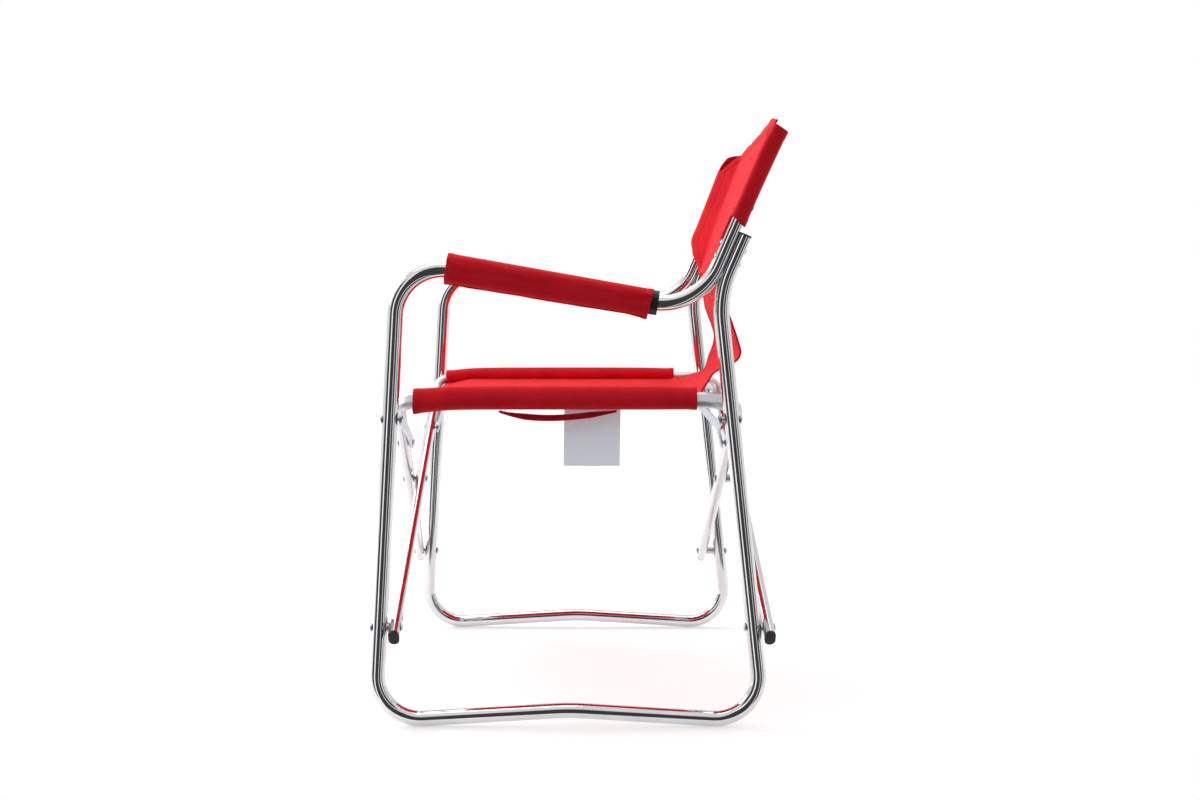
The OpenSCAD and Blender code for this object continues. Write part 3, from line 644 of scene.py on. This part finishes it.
def lower_sheet():
    def place(a, b):
        across = 2 * a - 1
        t = 1 - b
        near = spline(LOWER_NEAR, t)
        far = spline(LOWER_FAR, t)
        y = far[0] + (near[0] - far[0]) * a - SHIFT
        z = far[1] + (near[1] - far[1]) * a
        x = across * spline(LOWER_WIDTH, t)[0]
        # Below its top hem it bellies to the rear, and its lower end sags with the seat
        top = smoothstep(0.22, 0.0, t)
        y += (0.0030 * (1 - across * across) + 0.0016 * ripple(across * 3, z * 14, 0, 21)) * (1 - top)
        z -= seat_drop(across) * smoothstep(0.72, 1.0, t)
        return Vector((x, y, z))

    def hem(a, b):
        side = 1 - smoothstep(0.016, 0.020, min(a, 1 - a))
        low = 1 - smoothstep(0.030, 0.038, b)
        return 1 + HEM * min(side + low, 1)

    cloth = Cloth()
    add_sheet(cloth, place, 110, 120, (0.440, 0.235), hem=hem)
    for side in (1, -1):
        sew_along(cloth, place, (0.024, 0.976), side)
        sew_across(cloth, place, (0.042,), side, 900)
    obj = cloth.build("lower_back_sheet", (RED, THREAD))
    return dress(obj, "left_side", "red_fabric", LOWER_FLAT, "stretched",
                 ("back_sheet", "seat_sheet"), "lower_back")


# Seat cloth: a sleeve round each rail, and the sagging sheet between them.
# Each sleeve's top and bottom from the middle of its rail, from its front end to its rear end
SEAT_FACES = {
    1: [(0.00, 0.0136, -0.0172), (0.06, 0.0152, -0.0150), (0.13, 0.0168, -0.0126),
        (0.30, 0.0176, -0.0118), (0.85, 0.0174, -0.0117), (1.00, 0.0159, -0.0114)],
    -1: [(0.00, 0.0124, -0.0165), (0.06, 0.0148, -0.0146), (0.13, 0.0168, -0.0126),
         (0.30, 0.0177, -0.0120), (0.85, 0.0176, -0.0118), (1.00, 0.0164, -0.0116)]}
# Half the thickness and width of its section, which leans with the legs
SLEEVE_HALF_THIN = 0.0103
SLEEVE_HALF_WIDE = 0.0142
SEAT_SEAMS = (0.030, 0.970)


def seat_sleeve(side):
    def outline(a):
        c = math.cos(2 * math.pi * a)
        s = math.sin(2 * math.pi * a)
        thin = SLEEVE_HALF_THIN * squared(s, 0.85)
        wide = SLEEVE_HALF_WIDE * squared(c, 0.9)
        return (thin * math.cos(LEG_ANGLE) - wide * math.sin(LEG_ANGLE),
                thin * math.sin(LEG_ANGLE) + wide * math.cos(LEG_ANGLE))

    tallest = max(outline(k / 180)[1] for k in range(180))
    ahead = 0 if side > 0 else FAR_SEAT_SHIFT

    def place(a, b):
        x, z = outline(a)
        top, bottom = spline(SEAT_FACES[side], b)
        z = (top + bottom) / 2 + z / tallest * (top - bottom) / 2
        y = SEAT_FRONT + (SEAT_REAR - SEAT_FRONT) * b - SHIFT - ahead
        # Both ends gape a little, the front one more
        open_end = 0.0012 * (1 - smoothstep(0.0, 0.10, b)) + 0.0005 * smoothstep(0.95, 1.0, b)
        soft = 0.0005 * ripple(x * 40, y * 12, z * 40, 5 * side)
        x += (soft + open_end) * (1 if x > 0 else -1)
        return Vector((side * (RAIL_X + x), y, RAIL_Z + z))

    def hem(a, b):
        return 1 + (1 - smoothstep(0.022, 0.026, b) + smoothstep(0.974, 0.978, b))

    cloth = Cloth()
    add_sheet(cloth, place, 84, 120, (0.082, 0.369), closed=True, hem=hem)
    sew_across(cloth, place, SEAT_SEAMS, side)
    name = side_name(side)
    obj = cloth.build(name + "_seat_cover", (RED, THREAD))
    return dress(obj, name + "_legs", "red_fabric", COVER_FLAT, "stretched",
                 (name + "_leg_frame",), name + "_seat_sleeve")


SEAT_HALF_W = 0.2246
SEAT_EDGE_Z = 0.4203
FRONT_DROP = 0.0072


def seat_sheet():
    def place(a, b):
        across = 2 * a - 1
        x = across * SEAT_HALF_W
        y = SEAT_FRONT + (SEAT_REAR - SEAT_FRONT) * b - SHIFT - FAR_SEAT_SHIFT * (1 - a)
        edge = FRONT_DROP * (1 - smoothstep(0.0, 0.12, b))
        soft = 0.0010 * ripple(x * 9, y * 9, 0, 2) + 0.0004 * ripple(x * 30, y * 24, 0, 6)
        z = SEAT_EDGE_Z - seat_drop(across) - edge + soft * (1 - across ** 6)
        return Vector((x, y, z))

    def hem(a, b):
        ends = 1 - smoothstep(0.022, 0.026, min(b, 1 - b))
        return 1 + HEM * ends

    cloth = Cloth()
    add_sheet(cloth, place, 120, 110, (0.449, 0.369), hem=hem)
    for side in (1, -1):
        sew_across(cloth, place, SEAT_SEAMS, side, 900)
        sew_along(cloth, place, (0.012, 0.988), side, 700)
    obj = cloth.build("seat_sheet", (RED, THREAD))
    return dress(obj, "seat", "red_fabric", SEAT_FLAT, "stretched",
                 ("left_seat_cover", "right_seat_cover"), "seat_panel")


# Arm covers: a cloth tube over the moulded core, sewn shut below with a loose flap.
# Half of the outline: [step, half the width, height as a share of the way from bottom to top]
COVER_LINE = [(0.00, 0.0000, 1.000), (0.10, 0.0066, 0.976), (0.20, 0.0118, 0.888), (0.32, 0.0146, 0.720),
              (0.46, 0.0150, 0.480), (0.60, 0.0146, 0.250), (0.72, 0.0118, 0.090), (0.83, 0.0060, 0.018),
              (0.91, 0.0019, 0.000), (1.00, 0.0012, -0.045)]
# It starts COVER_START behind the front of its node, whose section is COVER_TALL high
COVER_START = 0.004
COVER_TALL = 0.0396
COVER_HALF_W = 0.015
COVER_HEM = 0.8


def arm_cover(side):
    low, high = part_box(side_name(side) + "_arm_cover")
    core_low, core_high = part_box(side_name(side) + "_arm_core")
    length = (high.y - low.y - COVER_TALL * math.sin(ARM_SLOPE)) / math.cos(ARM_SLOPE)
    centre = (low + high) / 2
    core = (core_low + core_high) / 2
    arm_z = core.z + (core.y - centre.y) * math.tan(ARM_SLOPE)

    def place(a, b):
        half = 1 - abs(2 * a - 1)
        width, share = spline(COVER_LINE, half)
        width *= 1 if a < 0.5 else -1
        # The cover gets lower towards its rear
        top = 0.0205 - 0.0048 * b
        bottom = -0.0164 - 0.0014 * b
        height = bottom + (top - bottom) * share
        slant = 0.0036 * (1 - min(max(share, 0), 1))
        along = (length - COVER_START - slant) * b - length / 2 + COVER_START
        # The flap below hangs loose, most of all at the rear
        flap = smoothstep(0.86, 1.0, half)
        loose = smoothstep(0.88, 1.0, b) * 0.0024 + 0.0006 * ripple(b * 9, 0, 0, side)
        height -= flap * loose
        width += flap * 0.0016 * math.sin(9 * b + side) * smoothstep(0.95, 1.0, half)
        crease = 0.0005 * ripple(b * 5, half * 9, 0, 4 * side) + 0.0003 * ripple(b * 22, half * 16, 0, 9)
        ends = smoothstep(0.93, 1.0, b) + 1 - smoothstep(0.0, 0.05, b)
        gather = 0.0006 * math.sin(half * 30 + b * 6) * ends
        width *= 1 + (crease + gather) / COVER_HALF_W
        turned = along * math.cos(ARM_SLOPE) + height * math.sin(ARM_SLOPE)
        risen = height * math.cos(ARM_SLOPE) - along * math.sin(ARM_SLOPE)
        return Vector((centre.x + width, centre.y + turned, arm_z + risen))

    def hem(a, b):
        return 1 + COVER_HEM * (1 - smoothstep(0.026, 0.031, b) + smoothstep(0.969, 0.974, b))

    cloth = Cloth()
    add_sheet(cloth, place, 96, 130, (0.108, 0.268), hem=hem)
    sew_across(cloth, place, (0.036, 0.964), -1)
    sew_along(cloth, place, (0.040, 0.960), -1, 700)
    name = side_name(side)
    obj = cloth.build(name + "_arm_sleeve", (RED, THREAD))
    return dress(obj, name + "_side", "red_fabric", ARM_FLAT, "stretched",
                 (name + "_arm_core",), name + "_arm_cover")


# Carry strap and hanging tag under the left edge of the seat: how far the strap lies out from
# its node, and the tag in from its own
STRAP_OUT = 0.004
TAG_IN = 0.0200


def carry_strap():
    low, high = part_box("carry_strap")
    width = high.x - low.x
    middle = (low.x + high.x) / 2 + STRAP_OUT

    # Between its sewn ends it hangs in one bow and tips out
    steepest = 0.26

    def place(a, b):
        sag = math.sin(math.pi * b ** 0.8)
        off = (a - 0.5) * width
        tip = steepest * smoothstep(0.0, 0.25, min(b, 1 - b))
        z = high.z - 0.0009 - (high.z - low.z - 0.0030) * sag - off * math.sin(tip)
        return Vector((middle + off * math.cos(tip), low.y + (high.y - low.y) * b, z))

    cloth = Cloth()
    add_sheet(cloth, place, 12, 90, (width, 0.156), WEBBING_THICK)
    sew_along(cloth, place, (0.12, 0.88), -1, lift=WEBBING_LIFT)
    obj = cloth.build("strap_webbing", (WEBBING, THREAD))
    return dress(obj, "seat", "red_webbing", STRAP_FLAT, "hung", (), "carry_strap")


def hang_tag():
    low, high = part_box("hang_tag")
    inner = low.x - TAG_IN
    raised = 0.0020

    def place(a, b):
        curl = 0.0022 * (2 * a - 1) ** 2 * b
        y = low.y + (high.y - low.y) * a - 0.0012 * b
        z = high.z + raised - (high.z - low.z + raised) * b
        return Vector((inner + 0.0040 * b - curl, y, z))

    cloth = Cloth()
    add_sheet(cloth, place, 24, 24, (0.074, 0.076), TAG_THICK)
    obj = cloth.build("blank_tag", (LABEL,))
    return dress(obj, "seat", "white_label", TAG_FLAT, "hung", (), "hang_tag")


back_sheets = [back_sheet(), lower_sheet()]
seat = seat_sheet()
near_sleeve()
far_sleeve()
for side in (1, -1):
    seat_sleeve(side)
    arm_cover(side)
carry_strap()
hang_tag()
for piece in back_sheets:
    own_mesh(piece)
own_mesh(seat)

# Floor: it ends just beyond the near side frame, so that the near tubes don't mirror it
FLOOR_REACH = 6
FLOOR_NEAR = 0.33
FLOOR_GLOW = 0.46
floor_corners = [(-FLOOR_REACH, -FLOOR_REACH, 0), (FLOOR_NEAR, -FLOOR_REACH, 0),
                 (FLOOR_NEAR, FLOOR_REACH, 0), (-FLOOR_REACH, FLOOR_REACH, 0)]
floor_mesh = bpy.data.meshes.new("floor")
floor_mesh.from_pydata(floor_corners, [], [(0, 1, 2, 3)])
floor = bpy.data.objects.new("floor", floor_mesh)
bpy.context.scene.collection.objects.link(floor)
floor_material, _, floor_shader = new_material("pale_floor")
floor_shader.inputs["Base Color"].default_value = (0.62, 0.62, 0.62, 1)
floor_shader.inputs["Roughness"].default_value = 0.75
floor_shader.inputs["Specular IOR Level"].default_value = 0.2
floor_shader.inputs["Emission Color"].default_value = (1, 1, 1, 1)
floor_shader.inputs["Emission Strength"].default_value = FLOOR_GLOW
paint(floor, floor_material)

# Studio: a bright room that is dark behind the camera, with tall softboxes in the dark.
# Each softbox: [turn of its middle, half its width, its strength]
SKY = 1.15
DARK = 0.07
SOFTBOXES = ((-0.62, 0.13, 1.5), (0.40, 0.06, 0.9), (1.02, 0.10, 1.2))
SOFTBOX_EDGE = 0.03
world = bpy.data.worlds.new("studio")
bpy.context.scene.world = world
world.use_nodes = True
room = world.node_tree
room.nodes.clear()
room_out = room.nodes.new("ShaderNodeOutputWorld")
background = room.nodes.new("ShaderNodeBackground")
# Behind the chair the camera sees plain white, as of paper
paper = room.nodes.new("ShaderNodeBackground")
paper.inputs["Color"].default_value = (1, 1, 1, 1)
mixed = room.nodes.new("ShaderNodeMixShader")
room.links.new(room.nodes.new("ShaderNodeLightPath").outputs["Is Camera Ray"], mixed.inputs[0])
room.links.new(background.outputs[0], mixed.inputs[1])
room.links.new(paper.outputs[0], mixed.inputs[2])
room.links.new(mixed.outputs[0], room_out.inputs[0])
way = room.nodes.new("ShaderNodeSeparateXYZ")
room.links.new(room.nodes.new("ShaderNodeTexCoord").outputs["Generated"], way.inputs[0])


def fade(source, low, high):
    """0 at low and 1 at high, smoothly between."""
    node = room.nodes.new("ShaderNodeMapRange")
    node.interpolation_type = "SMOOTHSTEP"
    node.inputs["From Min"].default_value = low
    node.inputs["From Max"].default_value = high
    room.links.new(source, node.inputs["Value"])
    return node.outputs[0]


to_camera = fade(way.outputs[0], 0.10, 0.34)
below_ceiling = fade(way.outputs[2], 0.66, 0.46)
dark_side = maths(room, "MULTIPLY", to_camera, below_ceiling)
level = maths(room, "MULTIPLY_ADD", dark_side, DARK - SKY, SKY)
turned = maths(room, "ARCTAN2", way.outputs[1], way.outputs[0])
for middle, half, power in SOFTBOXES:
    off = maths(room, "ABSOLUTE", maths(room, "SUBTRACT", turned, middle))
    box_light = maths(room, "MULTIPLY", fade(off, half + SOFTBOX_EDGE, half), dark_side)
    level = maths(room, "MULTIPLY_ADD", box_light, power, level)
room.links.new(level, background.inputs["Strength"])


def area_light(name, place, target, size, power):
    data = bpy.data.lights.new(name, "AREA")
    data.energy = power
    data.size = size
    obj = bpy.data.objects.new(name, data)
    bpy.context.scene.collection.objects.link(obj)
    obj.location = place
    obj.rotation_euler = (Vector(target) - Vector(place)).to_track_quat("-Z", "Y").to_euler()


area_light("top", (-0.3, -0.5, 2.8), (0, 0, 0.3), 2.0, 24)
area_light("front", (-1.2, -2.4, 1.6), (0, 0, 0.4), 1.2, 44)

# Camera, placed where the photograph was taken from
TILT = math.radians(4.25)
PAN = math.radians(0.16)
camera_data = bpy.data.cameras.new("camera")
camera_data.lens = 43.2
camera_data.sensor_width = 36.0
camera = bpy.data.objects.new("camera", camera_data)
bpy.context.scene.collection.objects.link(camera)
camera.location = (2.107, 0.047 - SHIFT, 0.5595)
look = Vector((-math.cos(TILT) * math.cos(PAN), -math.cos(TILT) * math.sin(PAN), -math.sin(TILT)))
camera.rotation_euler = look.to_track_quat("-Z", "Y").to_euler()
bpy.context.scene.camera = camera
bpy.context.scene.view_settings.view_transform = "Standard"
